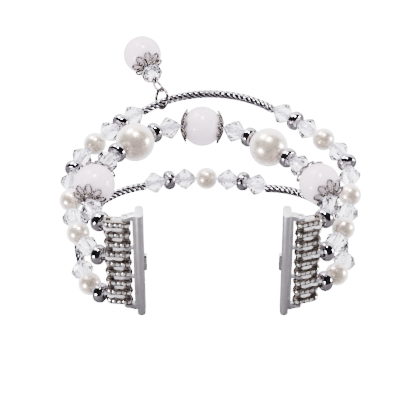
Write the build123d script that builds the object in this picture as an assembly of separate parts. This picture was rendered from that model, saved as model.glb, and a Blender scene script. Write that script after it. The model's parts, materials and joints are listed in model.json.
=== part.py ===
from build123d import *
import math
import os

# A beaded bracelet band for a wrist-worn case, in millimetres.
# Three elastic strands of beads run between two stacks of jewelled links,
# and each stack hangs on a metal adapter that slides into one end of the case.
# The wrist axis is Z, and the case sits at the front, towards minus Y.

# Front frame, where the case goes
bar_span = 42.0              # between the two inner bars
bar_diameter = 1.0           # inner bars and outer rods
running_gap = 0.05           # round a bar that turns in its hole
left_lean = 5.0              # degrees that each stack turns away from the case
right_lean = 18.0

# Links of the stacks
link_count = 9
link_pitch = 3.1
link_height = 2.0
link_depth = 2.4
link_hole_spacing = 4.1
link_end = 1.1               # from a hole to the end of the link
slot_length = 2.5
slot_width = 1.3
slot_corner = 0.325
slot_end_facets = 2
link_end_facets = 3          # flats round each end of a link
blind_cover = 0.5            # metal left over the ends of the outer rods
spacer_diameter = 1.9
spacer_play = 0.04
spacer_facets = 5
rod_facets = 6

# Rhinestones round each link
stones_per_link = 12
stone_diameter = 1.15
stone_height = 0.3
stone_facets = 5
seat_gap = 0.02              # under a set stone, a cap or a spring

# Adapters
tongue_length = 32.0
tongue_width = 4.4
tongue_thickness = 2.1
tongue_corner = 0.9
tongue_end_facets = 4        # flats round each long edge of the tongue
tongue_inset = 3.3           # from the inner bar to the middle of the tongue
neck_width = 1.8
cheek_thickness = 0.9
cheek_gap = 0.25             # between a cheek and the end link
cheek_radius = 1.05
tab_thickness = 0.8
tab_gaps = (2, 5)            # counted from the bottom, where the adapter grips the bar

# Sprung latch in each tongue
latch_length = 5.0
latch_width = 1.8
latch_travel = 0.6
latch_lip = 0.35
flange_rim = 0.5
flange_thickness = 0.4
latch_play = 0.06
spring_thickness = 0.12
spring_bow = 0.2

# Beads
bead_gap = 0.3
wide_gap = 0.7               # beside the capped balls and the first bead, where a strand bends most
bore_diameter = 1.3
crystal_diameter = 6.0
crystal_length = 5.4
crystal_end_diameter = 2.0
crystal_facets = 6
rondelle_diameter = 5.2
rondelle_length = 2.7
rondelle_flat_diameter = 3.0
rondelle_facets = 8
rondelle_steps = 3
small_pearl_diameter = 5.8
small_pearl_facets = 10
small_pearl_steps = 5
big_pearl_diameter = 9.8
jade_diameter = 10.2
ball_facets = 14
ball_steps = 6

# Flower caps on the jade balls
cap_petals = 8
cap_metal = 0.34
cap_hub_diameter = 3.2
cap_lift = 0.2               # keeps the flat petals off the round ball
petal_start_angle = 14.0     # degrees from the bead axis
petal_end_angle = 44.0
petal_width = 2.1
petal_foot = 0.7
petal_wire = 0.44
petal_widest_share = 0.6

# Twisted tubes
tube_diameter = 2.2
tube_bore = 1.36
tube_arc_length = 38.0
tube_arc_radius = 27.0
tube_facets = 5
tube_bore_facets = 6
tube_turns = 4.4
tube_sections = 48
tube_bore_sections = 12
tube_end_room = 0.1          # beyond each end, where the strand bends

# Elastic cord
cord_diameter = 0.8
cord_facets = 5
cord_play = 0.15             # that the cord may wander in a bore
cord_facet_angle = 60.0      # degrees of a bend that one facet spans
cord_tube_facet_angle = 7.0  # the same inside the tubes, where the bore is narrow
cord_bend_radius = 6.0
bend_run_share = 0.45
first_reach = 1.6            # from an outer rod to the first bead
loop_gap = 0.05
loop_corners = 5
loop_sweep = 290.0           # degrees that the cord wraps round its rod
tube_path_corners = 4
tube_path_share = 0.9

# Strand routes: where each leaves its rod, counted in link pitches from the middle
top_attach_shares = (3.5, 3.5)
middle_attach_shares = (0.5, 0.5)
bottom_attach_shares = (-3.5, -2.5)
loop_half_width = 36.0
top_rise = 1.7
middle_rise = 5.8
route_samples = 400
route_tolerance_share = 0.0001
split_tolerance_share = 0.000001
upright_share = 0.9          # of a direction's length, past which it counts as vertical

# Points of the routes: across as a share of the half width, back as a share of the depth,
# and up as a share of the strand's rise
top_route_shares = (
    (-0.835, 0.16, 0.1), (-0.83, 0.35, 0.9), (-0.55, 0.78, 0.9), (-0.06, 1.0, 0.3),
    (0.39, 0.77, 0.1), (0.745, 0.39, 0.5), (0.81, 0.18, 0.3),
)
middle_route_shares = (
    (-0.925, 0.147, -0.1), (-0.995, 0.32, 0.05), (-0.99, 0.48, 0.45), (-0.855, 0.635, 0.7),
    (-0.51, 0.85, 0.9), (-0.04, 1.0, 1.0), (0.41, 0.877, 0.95), (0.765, 0.677, 0.83),
    (0.945, 0.54, 0.67), (0.965, 0.36, 0.15), (0.9, 0.175, -0.08),
)
bottom_route_shares = (
    (-0.88, 0.13, 0.25), (-0.965, 0.35, 0.2), (-0.9, 0.6, -0.1), (-0.74, 0.76, -0.15),
    (-0.38, 0.955, 0.65), (-0.1, 1.0, 1.0), (0.16, 0.975, 0.92), (0.52, 0.79, 0.46),
    (0.72, 0.64, 0.32), (0.87, 0.475, 0.25), (0.94, 0.29, 0.25), (0.87, 0.11, 0.2),
)
# Where the first bead leans out of the stack, as an angle from straight outwards
left_exit_angles = (42.0, 6.0, 0.0)
right_exit_angles = (48.0, 12.0, 2.0)

# Beads of each strand, from the left stack to the right one
top_beads = "R C J C R P R C J C R P R C J C R".split()
middle_beads = "R C p C p C R C p C R C T C R C p C R C p C p C R".split()
bottom_beads = "R p C T C R C p C R C T C p R".split()

# Charm on the middle strand's tube
charm_place_share = 0.17     # along the tube
ring_radius = 2.6            # of the jump ring's wire, at its middle
ring_wire = 0.76
ring_facets = 6
ring_sections = 16
ring_seat_gap = 0.12
eye_length = 4.6
eye_half_width = 1.0
eye_wire = 0.6
eye_facet_angle = 40.0
eye_seat_gap = 0.2
eye_shoulder_share = 0.6     # places along the eye, from its crown
eye_bend_share = 0.22
eye_crown_share = 0.1        # of its half width
eye_tail_share = 0.92
pin_head = 1.5
pin_head_length = 0.5
ring_plane_normal = Vector(0.8, 0.46, -0.38)
ring_eye_direction = Vector(-0.2, 0.81, 0.55)
charm_direction = Vector(-0.333, 0.937, 0.095)

# Derived values
bore_radius = bore_diameter / 2
cord_radius = cord_diameter / 2
hole_radius = bar_diameter / 2 + running_gap
stack_half = (link_count - 1) / 2 * link_pitch + link_height / 2
floor_height = -tongue_length / 2
small_pearl_radius = small_pearl_diameter / 2
jade_radius = jade_diameter / 2
cap_seat = jade_radius + seat_gap
jade_length = 2 * (cap_seat + cap_metal)
tube_half_angle = tube_arc_length / tube_arc_radius / 2
tube_chord = 2 * tube_arc_radius * math.sin(tube_half_angle)
lengths = {
    "R": rondelle_length, "C": crystal_length, "p": small_pearl_diameter,
    "P": big_pearl_diameter, "J": jade_length, "T": tube_chord + 2 * tube_end_room,
}
up = Vector(0, 0, 1)
nodes = {}


def circle_points(radius, height, sides, turn=0.0):
    step = 2 * math.pi / sides
    return [
        Vector(radius * math.cos(step * (k + turn)), radius * math.sin(step * (k + turn)), height)
        for k in range(sides)
    ]


def facet_band(lower, upper, split):
    # Flat faces between two rings. Twisted rings are split along the shorter diagonal.
    faces = []
    for k in range(len(lower)):
        following = (k + 1) % len(lower)
        a, b, c, d = lower[k], lower[following], upper[following], upper[k]
        if not split:
            faces.append(Face(Wire.make_polygon([a, b, c, d])))
        elif (a - c).length < (b - d).length:
            faces.append(Face(Wire.make_polygon([a, b, c])))
            faces.append(Face(Wire.make_polygon([a, c, d])))
        else:
            faces.append(Face(Wire.make_polygon([a, b, d])))
            faces.append(Face(Wire.make_polygon([b, c, d])))
    return faces


def facet_lathe(profile, sides):
    # A turned shape with flat facets. The closed profile gives radius and height.
    loops = [circle_points(radius, height, sides) for radius, height in profile]
    faces = []
    for lower, upper in zip(loops, loops[1:] + loops[:1]):
        faces += facet_band(lower, upper, False)
    return Solid(Shell(faces))


def facet_rod(radius, bottom, top, sides):
    return extrude(Plane.XY.offset(bottom) * RegularPolygon(radius, sides), amount=top - bottom)


def bead_place(centre, axis):
    return Plane(origin=centre, z_dir=axis).location


# Beads, each with its bore along Z and its middle at the origin

def make_crystal():
    half = crystal_length / 2
    girdle = crystal_diameter / 2
    end = crystal_end_diameter / 2
    profile = [(bore_radius, -half), (end, -half), (girdle, 0), (end, half), (bore_radius, half)]
    return facet_lathe(profile, crystal_facets)


def make_ball(diameter, sides, steps):
    radius = diameter / 2
    first = math.asin(bore_radius / radius)
    profile = []
    for k in range(steps + 1):
        angle = first + (math.pi - 2 * first) * k / steps
        profile.append((radius * math.sin(angle), -radius * math.cos(angle)))
    return facet_lathe(profile, sides)


def make_rondelle():
    half = rondelle_length / 2
    flat = rondelle_flat_diameter / 2
    bulge = rondelle_diameter / 2 - flat
    profile = [(bore_radius, -half), (flat, -half)]
    for k in range(1, rondelle_steps):
        angle = math.pi * k / rondelle_steps
        profile.append((flat + bulge * math.sin(angle) ** 0.5, -half * math.cos(angle)))
    profile += [(flat, half), (bore_radius, half)]
    return facet_lathe(profile, rondelle_facets)


def sphere_point(radius, degrees):
    angle = math.radians(degrees)
    return radius * math.sin(angle), radius * math.cos(angle)


def make_petal():
    # An open loop of flat wire, laid as a chord along the ball from the hub outwards.
    near_x, near_z = sphere_point(cap_seat + cap_lift, petal_start_angle)
    far_x, far_z = sphere_point(cap_seat + cap_lift, petal_end_angle)
    reach = math.hypot(far_x - near_x, near_z - far_z)
    half = petal_width / 2
    foot = petal_foot / 2
    widest = reach * petal_widest_share
    outline = [(0, -foot), (widest, -half), (reach, -foot), (reach, foot), (widest, half), (0, foot)]
    inner_half = half - petal_wire
    inner_end = reach - petal_wire
    inner = [(petal_wire, 0), (widest, -inner_half), (inner_end, 0), (widest, inner_half)]
    sheet = Polygon(*outline, align=None) - Polygon(*inner, align=None)
    slope = Plane(
        origin=(near_x, 0, near_z),
        x_dir=(far_x - near_x, 0, far_z - near_z),
        z_dir=(near_z - far_z, 0, far_x - near_x),
    )
    return slope * extrude(sheet, amount=cap_metal)


def make_cap():
    # Its bore is along Z, and the ball's middle is at the origin.
    hub = facet_lathe(
        [
            (bore_radius, cap_seat), (cap_hub_diameter / 2, cap_seat),
            (cap_hub_diameter / 2, cap_seat + cap_metal), (bore_radius, cap_seat + cap_metal),
        ],
        cap_petals,
    )
    petal = make_petal()
    cap = hub
    for k in range(cap_petals):
        cap = cap + Rot(0, 0, 360 * k / cap_petals) * petal
    return cap.solid()


# Twisted tube along a flat arc

def arc_frame(centre, start_radial, turn_axis, angle):
    radial = start_radial.rotate(Axis((0, 0, 0), turn_axis), math.degrees(angle))
    return centre + radial * tube_arc_radius, radial


def make_tube(arc):
    outer = []
    inner = []
    for k in range(tube_sections + 1):
        share = k / tube_sections
        point, radial = arc_frame(arc["centre"], arc["radial"], arc["axis"], arc["sweep"] * share)
        for loops, radius, sides, twist in (
            (outer, tube_diameter / 2, tube_facets, tube_turns * share),
            (inner, tube_bore / 2, tube_bore_facets, 0.0),
        ):
            loop = []
            for j in range(sides):
                angle = 2 * math.pi * (j / sides + twist)
                across = arc["axis"] * (radius * math.sin(angle))
                loop.append(point + radial * (radius * math.cos(angle)) + across)
            loops.append(loop)
    faces = []
    for k in range(tube_sections):
        faces += facet_band(outer[k], outer[k + 1], True)
    stride = tube_sections // tube_bore_sections
    for k in range(0, tube_sections, stride):
        faces += facet_band(inner[k], inner[k + stride], True)
    for k in (0, tube_sections):
        faces.append(Face(Wire.make_polygon(outer[k]), [Wire.make_polygon(inner[k])]))
    return Solid(Shell(faces))


# Stacks of links, each in its own frame: outer rod at the origin, inner bar along X

def stadium_points(half_length, half_depth, corner, facets):
    # A long outline whose ends are rounded by flats.
    points = []
    middle = half_length - corner
    for sign in (1, -1):
        for k in range(facets + 1):
            angle = math.pi * (k / facets - 0.5)
            across = sign * (middle + corner * math.cos(angle))
            points.append((across, sign * half_depth * math.sin(angle)))
    return points


def link_height_at(index):
    return (index - (link_count - 1) / 2) * link_pitch


def gap_height_at(index):
    return link_height_at(index) + link_pitch / 2


def make_link(index):
    half_length = link_hole_spacing / 2 + link_end
    outline = stadium_points(half_length, link_depth / 2, link_depth / 2, link_end_facets)
    slot = stadium_points(slot_length / 2, slot_width / 2, slot_corner, slot_end_facets)
    sheet = Polygon(*outline, align=None) - Polygon(*slot, align=None)
    hole = RegularPolygon(hole_radius / math.cos(math.pi / rod_facets), rod_facets)
    sheet = sheet - Pos(link_hole_spacing / 2, 0) * hole
    through_rod = 0 < index < link_count - 1
    if through_rod:
        sheet = sheet - Pos(-link_hole_spacing / 2, 0) * hole
    link = extrude(sheet, amount=link_height)
    if not through_rod:
        depth = link_height - blind_cover
        bottom = blind_cover if index == 0 else 0
        link = link - Pos(-link_hole_spacing / 2, 0, bottom) * extrude(hole, amount=depth)
    return Pos(link_hole_spacing / 2, 0, link_height_at(index) - link_height / 2) * link


def make_stone():
    base = circle_points(stone_diameter / 2, 0, stone_facets)
    tip = Vector(0, 0, stone_height)
    faces = [Face(Wire.make_polygon(base))]
    for k in range(stone_facets):
        faces.append(Face(Wire.make_polygon([base[k], base[(k + 1) % stone_facets], tip])))
    return Solid(Shell(faces))


def make_stones():
    # Stones stand round the outside of every link, evenly along its outline.
    stone = make_stone()
    radius = link_depth / 2
    straight = link_hole_spacing + 2 * link_end - link_depth
    around = 2 * straight + 2 * math.pi * radius
    placed = []
    for index in range(link_count):
        for k in range(stones_per_link):
            along = around * (k + 0.5) / stones_per_link
            centre, normal = outline_place(along, straight, radius + seat_gap)
            origin = (centre[0] + link_hole_spacing / 2, centre[1], link_height_at(index))
            placed.append(Plane(origin=origin, x_dir=(0, 0, 1), z_dir=(normal[0], normal[1], 0)) * stone)
    return placed


def outline_place(along, straight, radius):
    side = straight + math.pi * link_depth / 2
    sign = 1
    if along > side:
        along -= side
        sign = -1
    if along < straight:
        return (sign * (along - straight / 2), -sign * radius), (0, -sign)
    angle = (along - straight) / (link_depth / 2) - math.pi / 2
    normal = (sign * math.cos(angle), sign * math.sin(angle))
    return (sign * straight / 2 + radius * normal[0], radius * normal[1]), normal


def make_spacers(cord_gaps):
    half = (link_pitch - link_height - spacer_play) / 2
    hole = hole_radius / math.cos(math.pi / spacer_facets)
    outer = spacer_diameter / 2
    spacer = facet_lathe([(hole, -half), (outer, -half), (outer, half), (hole, half)], spacer_facets)
    placed = []
    for index in range(link_count - 1):
        if index not in cord_gaps:
            placed.append(Pos(0, 0, gap_height_at(index)) * spacer)
        if index not in tab_gaps:
            placed.append(Pos(link_hole_spacing, 0, gap_height_at(index)) * spacer)
    return placed


# Adapter in its own frame: inner bar at the origin, case towards plus X

def make_adapter():
    half = tongue_length / 2
    outline = stadium_points(tongue_width / 2, tongue_thickness / 2, tongue_corner, tongue_end_facets)
    section = Pos(tongue_inset, 0) * Rot(0, 0, 90) * Polygon(*outline, align=None)
    tongue = Pos(0, 0, -half) * extrude(section, amount=tongue_length)
    web_outer = link_end + stone_height + cheek_gap
    web_inner = tongue_inset - tongue_thickness / 2
    cheek_bottom = stack_half + cheek_gap
    cheek_top = cheek_bottom + cheek_thickness
    profile = [
        (web_outer, -half + tongue_corner), (web_inner, -half + tongue_corner),
        (web_inner, half - tongue_corner), (web_outer, half - tongue_corner),
    ]
    web = Plane.XZ * Polygon(*profile, align=None)
    web = extrude(web, amount=neck_width / 2, both=True)
    cheek_end = half - tongue_corner
    cheek_shape = Polygon(
        (0, cheek_bottom), (web_outer, cheek_bottom), (web_outer, cheek_end), (0, cheek_top), align=None
    )
    cheek = extrude(Plane.XZ * cheek_shape, amount=neck_width / 2, both=True)
    boss = extrude(RegularPolygon(cheek_radius, 2 * rod_facets), amount=cheek_thickness)
    cheek = cheek + Pos(0, 0, cheek_bottom) * boss
    tab_shape = RegularPolygon(spacer_diameter / 2, 2 * rod_facets)
    tab_shape = tab_shape + Pos(web_outer / 2, 0) * Rectangle(web_outer, neck_width / 2)
    tab = Pos(0, 0, -tab_thickness / 2) * extrude(tab_shape, amount=tab_thickness)
    body = tongue + web + cheek + mirror(cheek, about=Plane.XY)
    for index in tab_gaps:
        body = body + Pos(0, 0, gap_height_at(index)) * tab
    bar_hole = (bar_diameter / 2 + seat_gap) / math.cos(math.pi / rod_facets)
    body = body - facet_rod(bar_hole, -half, half, rod_facets)
    return (body - latch_cavity()).solid()


def latch_face():
    return tongue_inset + tongue_thickness / 2


def latch_cavity():
    face = latch_face()
    across = latch_width + 2 * latch_play
    along = latch_length + 2 * latch_play
    mouth = Rectangle(across, along)
    wide = Rectangle(across + 2 * flange_rim, along + 2 * flange_rim)
    depth = flange_thickness + latch_travel + spring_thickness + spring_bow + seat_gap
    opening = Plane(origin=(face, 0, 0), x_dir=(0, 1, 0), z_dir=(-1, 0, 0))
    inside = Plane(origin=(face - latch_lip, 0, 0), x_dir=(0, 1, 0), z_dir=(-1, 0, 0))
    return extrude(opening * mouth, amount=latch_lip) + extrude(inside * wide, amount=depth)


def make_latch_button():
    face = latch_face()
    pad_sketch = chamfer(Rectangle(latch_width, latch_length).vertices(), latch_width / 4)
    pad_plane = Plane(origin=(face + latch_travel, 0, 0), x_dir=(0, 1, 0), z_dir=(-1, 0, 0))
    flange_plane = Plane(origin=(face - latch_lip - seat_gap, 0, 0), x_dir=(0, 1, 0), z_dir=(-1, 0, 0))
    pad = extrude(pad_plane * pad_sketch, amount=latch_travel + latch_lip + seat_gap)
    flange = extrude(
        flange_plane * Rectangle(latch_width + 2 * flange_rim, latch_length + 2 * flange_rim),
        amount=flange_thickness,
    )
    return (pad + flange).solid()


def make_latch_spring():
    back = latch_face() - latch_lip - flange_thickness - latch_travel - spring_thickness - spring_bow
    half = latch_length / 2
    outline = [
        (back, -half), (back + spring_thickness, -half), (back + spring_thickness + spring_bow, 0),
        (back + spring_thickness, half), (back, half), (back + spring_bow, 0),
    ]
    return extrude(Plane.XZ * Polygon(*outline, align=None), amount=latch_width / 2, both=True).solid()


# Routes of the strands

def turned(direction, degrees):
    angle = math.radians(degrees)
    return Vector(
        direction.X * math.cos(angle) - direction.Y * math.sin(angle),
        direction.X * math.sin(angle) + direction.Y * math.cos(angle),
        0,
    )


def outer_rod(side):
    lean = left_lean if side < 0 else right_lean
    reach = math.radians(lean)
    return Vector(
        side * (bar_span / 2 + link_hole_spacing * math.cos(reach)),
        link_hole_spacing * math.sin(reach),
        0,
    )


def exit_direction(side, degrees):
    angle = math.radians(degrees)
    return Vector(side * math.cos(angle), math.sin(angle), 0)


def strand_route(attach, shares, peak, exits, depth):
    heights = [share * link_pitch for share in attach]
    reach = first_reach + rondelle_length / 2
    left = outer_rod(-1) + up * heights[0]
    right = outer_rod(1) + up * heights[1]
    points = [left, left + exit_direction(-1, exits[0]) * reach]
    for across, back, lift in shares:
        height = heights[across > 0]
        points.append(Vector(across * loop_half_width, back * depth, height + lift * (peak - height)))
    points += [right + exit_direction(1, exits[1]) * reach, right]
    curve = Spline(*points)
    return [curve @ (k / route_samples) for k in range(route_samples + 1)]


def next_on_route(route, start, index, distance):
    # The first place along the route that lies this far from the start.
    for k in range(index, len(route) - 1):
        if (route[k + 1] - start).length >= distance:
            low = 0.0
            high = 1.0
            step = route[k + 1] - route[k]
            while high - low > split_tolerance_share:
                middle = (low + high) / 2
                if (route[k] + step * middle - start).length < distance:
                    low = middle
                else:
                    high = middle
            return route[k] + step * high, k
    return None, len(route)


def walk_route(route, runs):
    places = [route[0]]
    index = 0
    for run in runs:
        place, index = next_on_route(route, places[-1], index, run)
        if place is None:
            return None
        places.append(place)
    return places


def joint_gaps(beads):
    # Gaps between neighbours, with one more at each end of the strand.
    gaps = [bead_gap]
    for k in range(1, len(beads)):
        wide = "J" in beads[k - 1:k + 1] or k in (1, len(beads) - 1)
        gaps.append(wide_gap if wide else bead_gap)
    return gaps + [bead_gap]


def solve_strand(name, beads, attach, shares, peak, exits):
    # The strand is as deep as its beads make it: they fill the way from rod to rod.
    lead = first_reach - bead_gap / 2
    gaps = joint_gaps(beads)
    runs = [lead]
    for k, bead in enumerate(beads):
        runs.append(lengths[bead] + (gaps[k] + gaps[k + 1]) / 2)
    shallow = loop_half_width / 2
    deep = 2 * loop_half_width
    while deep - shallow > loop_half_width * route_tolerance_share:
        depth = (shallow + deep) / 2
        route = strand_route(attach, shares, peak, exits, depth)
        places = walk_route(route, runs)
        if places is None or (places[-1] - route[-1]).length < lead:
            shallow = depth
        else:
            deep = depth
    route = strand_route(attach, shares, peak, exits, deep)
    places = walk_route(route, runs)
    print(name, "strand is", round(deep, 2), "deep")
    return {
        "route": route, "places": places[1:], "rods": (route[0], route[-1]), "beads": beads, "gaps": gaps,
    }


def tube_arc(start, end, outside):
    # The tube's middle line between two ends, bulging away from the wrist.
    along = (end - start).normalized()
    middle = (start + end) / 2
    bulge = outside - middle
    bulge = (bulge - along * bulge.dot(along)).normalized()
    centre = middle - bulge * (tube_arc_radius * math.cos(tube_half_angle))
    axis = bulge.cross(along)
    radial = bulge.rotate(Axis((0, 0, 0), axis), -math.degrees(tube_half_angle))
    return {"centre": centre, "radial": radial, "axis": axis, "sweep": 2 * tube_half_angle}


def nearest_on_route(route, point):
    return min(route, key=lambda place: (place - point).length)


def cord_corners(strand):
    # Corners of the cord's path between its two rods, with the largest radius for each.
    corners = []
    places = strand["places"]
    for k, bead in enumerate(strand["beads"]):
        corners.append((places[k], cord_bend_radius))
        if bead == "T":
            arc = strand["arcs"][k]
            step = arc["sweep"] / tube_path_corners
            out = tube_arc_radius / math.cos(step / 2)
            for j in range(tube_path_corners):
                point, radial = arc_frame(arc["centre"], arc["radial"], arc["axis"], step * (j + 0.5))
                corners.append((arc["centre"] + radial * out, tube_arc_radius * tube_path_share))
    corners.append((places[-1], cord_bend_radius))
    return corners


def rod_loop(rod, first, side):
    # Corners of the loop round a rod, from the loose end to where the cord leaves for the beads.
    radius = bar_diameter / 2 + loop_gap + cord_radius
    away = Vector(first.X - rod.X, first.Y - rod.Y, 0)
    distance = away.length
    away = away.normalized()
    tangent_angle = math.degrees(math.acos(radius / distance))
    start = turned(away, side * tangent_angle)
    step = loop_sweep / loop_corners
    out = radius / math.cos(math.radians(step / 2))
    corners = []
    for k in range(loop_corners):
        direction = turned(start, side * (step / 2 + step * (loop_corners - 1 - k)))
        corners.append((rod + direction * out, radius))
    end = rod + turned(start, side * loop_sweep) * radius
    return end, corners


def corner_radius(before, corner, after, limit):
    first = corner - before
    second = after - corner
    half_turn = math.radians(first.get_angle(second)) / 2
    run = min(first.length, second.length)
    return min(limit, bend_run_share * run / math.tan(half_turn))


def bore_bend_radius(before, corner, after):
    # The largest bend that keeps the cord clear of the bores on both sides of a gap.
    half_turn = math.radians((corner - before).get_angle(after - corner)) / 2
    return cord_play / (1 / math.cos(half_turn) - 1)


def facet_tube(path, radius, sides, facet_angle, wide_facet_angle):
    # A round wire or cord with flat facets, along straight runs, bends and wide arcs.
    stations = []
    for edge in path.edges():
        turn = (edge % 0).get_angle(edge % 1)
        one_facet = wide_facet_angle if edge.length > cord_bend_radius else facet_angle
        steps = max(1, math.ceil(turn / one_facet))
        for k in range(steps):
            stations.append((edge @ (k / steps), edge % (k / steps)))
    last = path.edges()[-1]
    stations.append((last @ 1, last % 1))
    first = stations[0][1]
    aside = first.cross(up if abs(first.Z) < upright_share else Vector(1, 0, 0))
    loops = []
    for point, tangent in stations:
        aside = (aside - tangent * aside.dot(tangent)).normalized()
        across = tangent.cross(aside)
        loop = []
        for k in range(sides):
            angle = 2 * math.pi * k / sides
            loop.append(point + aside * (radius * math.cos(angle)) + across * (radius * math.sin(angle)))
        loops.append(loop)
    faces = [Face(Wire.make_polygon(loops[0])), Face(Wire.make_polygon(loops[-1]))]
    for lower, upper in zip(loops, loops[1:]):
        faces += facet_band(lower, upper, True)
    return Solid(Shell(faces))


def make_cord(strand):
    left_end, left_loop = rod_loop(strand["rods"][0], strand["places"][0], -1)
    right_end, right_loop = rod_loop(strand["rods"][1], strand["places"][-1], 1)
    corners = left_loop + cord_corners(strand) + right_loop[::-1]
    points = [left_end] + [corner for corner, limit in corners] + [right_end]
    radii = []
    for k, (corner, limit) in enumerate(corners):
        if limit == cord_bend_radius:
            limit = min(limit, bore_bend_radius(points[k], corner, points[k + 2]))
        radii.append(corner_radius(points[k], corner, points[k + 2], limit))
    path = FilletPolyline(*points, radius=radii)
    cord = facet_tube(path, cord_radius, cord_facets, cord_facet_angle, cord_tube_facet_angle)
    area = RegularPolygon(cord_radius, cord_facets).area
    ratio = cord.volume / area / path.length
    print("cord", round(path.length, 1), "long, volume ratio", round(ratio, 3))
    print("least bend", round(min(radii), 2))
    return cord


# Charm

def make_jump_ring(centre, normal, first):
    second = normal.cross(first)
    loops = []
    for k in range(ring_sections):
        angle = 2 * math.pi * k / ring_sections
        radial = first * math.cos(angle) + second * math.sin(angle)
        loop = []
        for j in range(ring_facets):
            turn = 2 * math.pi * j / ring_facets
            shift = radial * (ring_wire / 2 * math.cos(turn)) + normal * (ring_wire / 2 * math.sin(turn))
            loop.append(centre + radial * ring_radius + shift)
        loops.append(loop)
    faces = []
    for lower, upper in zip(loops, loops[1:] + loops[:1]):
        faces += facet_band(lower, upper, False)
    return Solid(Shell(faces))


def make_pin(length):
    # Along Z: the eye's far end at the origin, the straight wire and its head below it.
    neck = -eye_length
    shoulder = neck * eye_shoulder_share
    bend = neck * eye_bend_share
    points = [
        (0, 0, -length), (0, 0, neck), (eye_half_width, 0, shoulder), (eye_half_width, 0, bend),
        (0, 0, eye_half_width * eye_crown_share), (-eye_half_width, 0, bend), (-eye_half_width, 0, shoulder),
        (-eye_wire, 0, neck * eye_tail_share),
    ]
    wires = []
    for k in range(1, len(points) - 1):
        before, corner, after = Vector(points[k - 1]), Vector(points[k]), Vector(points[k + 1])
        wires.append(corner_radius(before, corner, after, eye_half_width))
    path = FilletPolyline(*points, radius=wires)
    wire = facet_tube(path, eye_wire / 2, cord_facets, eye_facet_angle, eye_facet_angle)
    head = Pos(0, 0, -length) * extrude(RegularPolygon(pin_head / 2, cap_petals), amount=pin_head_length)
    return (wire + head).solid()


def add(name, solids):
    nodes[name] = solids if isinstance(solids, list) else [solids]


def place_solids(solids, location):
    return [solid.moved(location) for solid in solids]


# Front end on each side
crystal = make_crystal()
rondelle = make_rondelle()
small_pearl = make_ball(small_pearl_diameter, small_pearl_facets, small_pearl_steps)
big_pearl = make_ball(big_pearl_diameter, ball_facets, ball_steps)
jade = make_ball(jade_diameter, ball_facets, ball_steps)
cap = make_cap()
links = [make_link(index) for index in range(link_count)]
stones = make_stones()
adapter = make_adapter()
button = make_latch_button()
spring = make_latch_spring()
attach_shares = (top_attach_shares, middle_attach_shares, bottom_attach_shares)
for side, label in ((-1, "left"), (1, "right")):
    attached = [shares[side > 0] for shares in attach_shares]
    cord_gaps = [round(share + link_count / 2 - 1) for share in attached]
    spacers = make_spacers(cord_gaps)
    rod = outer_rod(side)
    bar = Vector(side * bar_span / 2, 0, 0)
    stack_place = Plane(origin=rod, x_dir=bar - rod, z_dir=up).location
    adapter_place = Plane(origin=bar, x_dir=(-side, 0, 0), z_dir=up).location
    rod_top = stack_half - blind_cover - running_gap
    bar_top = stack_half + cheek_gap + cheek_thickness
    add("outer_rod_" + label, Pos(rod) * facet_rod(bar_diameter / 2, -rod_top, rod_top, rod_facets))
    add("links_" + label, place_solids(links, stack_place))
    add("rhinestones_" + label, place_solids(stones, stack_place))
    add("spacers_" + label, place_solids(spacers, stack_place))
    add("inner_bar_" + label, Pos(bar) * facet_rod(bar_diameter / 2, -bar_top, bar_top, rod_facets))
    add("adapter_" + label, adapter.moved(adapter_place))
    add("latch_button_" + label, button.moved(adapter_place))
    add("latch_spring_" + label, spring.moved(adapter_place))

# Strands
back_height = floor_height + small_pearl_radius
top_peak = top_attach_shares[0] * link_pitch + top_rise
middle_peak = middle_attach_shares[0] * link_pitch + middle_rise
strands = {
    "top": solve_strand(
        "top", top_beads, top_attach_shares, top_route_shares, top_peak,
        (left_exit_angles[0], right_exit_angles[0]),
    ),
    "middle": solve_strand(
        "middle", middle_beads, middle_attach_shares, middle_route_shares, middle_peak,
        (left_exit_angles[1], right_exit_angles[1]),
    ),
    "bottom": solve_strand(
        "bottom", bottom_beads, bottom_attach_shares, bottom_route_shares, back_height,
        (left_exit_angles[2], right_exit_angles[2]),
    ),
}
spinning = {}
for label, strand in strands.items():
    places = strand["places"]
    found = {"C": [], "R": [], "p": [], "P": [], "J": [], "T": []}
    strand["arcs"] = {}
    for k, bead in enumerate(strand["beads"]):
        axis = (places[k + 1] - places[k]).normalized()
        start = places[k] + axis * (strand["gaps"][k] / 2)
        end = places[k + 1] - axis * (strand["gaps"][k + 1] / 2)
        centre = (start + end) / 2
        found[bead].append((centre, axis))
        if bead == "T":
            outside = nearest_on_route(strand["route"], centre)
            strand["arcs"][k] = tube_arc(start, end, outside)
    add("crystals_" + label, [crystal.moved(bead_place(*spot)) for spot in found["C"]])
    add("rondelles_" + label, [rondelle.moved(bead_place(*spot)) for spot in found["R"]])
    for count, spot in enumerate(found["p"], 1):
        name = "pearl_" + label + "_" + str(count)
        add(name, small_pearl.moved(bead_place(*spot)))
        spinning[name] = spot
    for side, spot in zip(("left", "right"), found["P"]):
        name = "big_pearl_" + side
        add(name, big_pearl.moved(bead_place(*spot)))
        spinning[name] = spot
    for side, spot in zip(("left", "back", "right"), found["J"]):
        place = bead_place(*spot)
        add("jade_" + side, jade.moved(place))
        add("caps_" + side, [cap.moved(place), (Rot(180, 0, 0) * cap).moved(place)])
        spinning["jade_" + side] = spot
    tubes = [make_tube(arc) for arc in strand["arcs"].values()]
    if len(tubes) == 1:
        add("tube_" + label, tubes[0])
    elif tubes:
        add("tube_" + label + "_left", tubes[0])
        add("tube_" + label + "_right", tubes[1])
    add("elastic_" + label, make_cord(strand))

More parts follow.
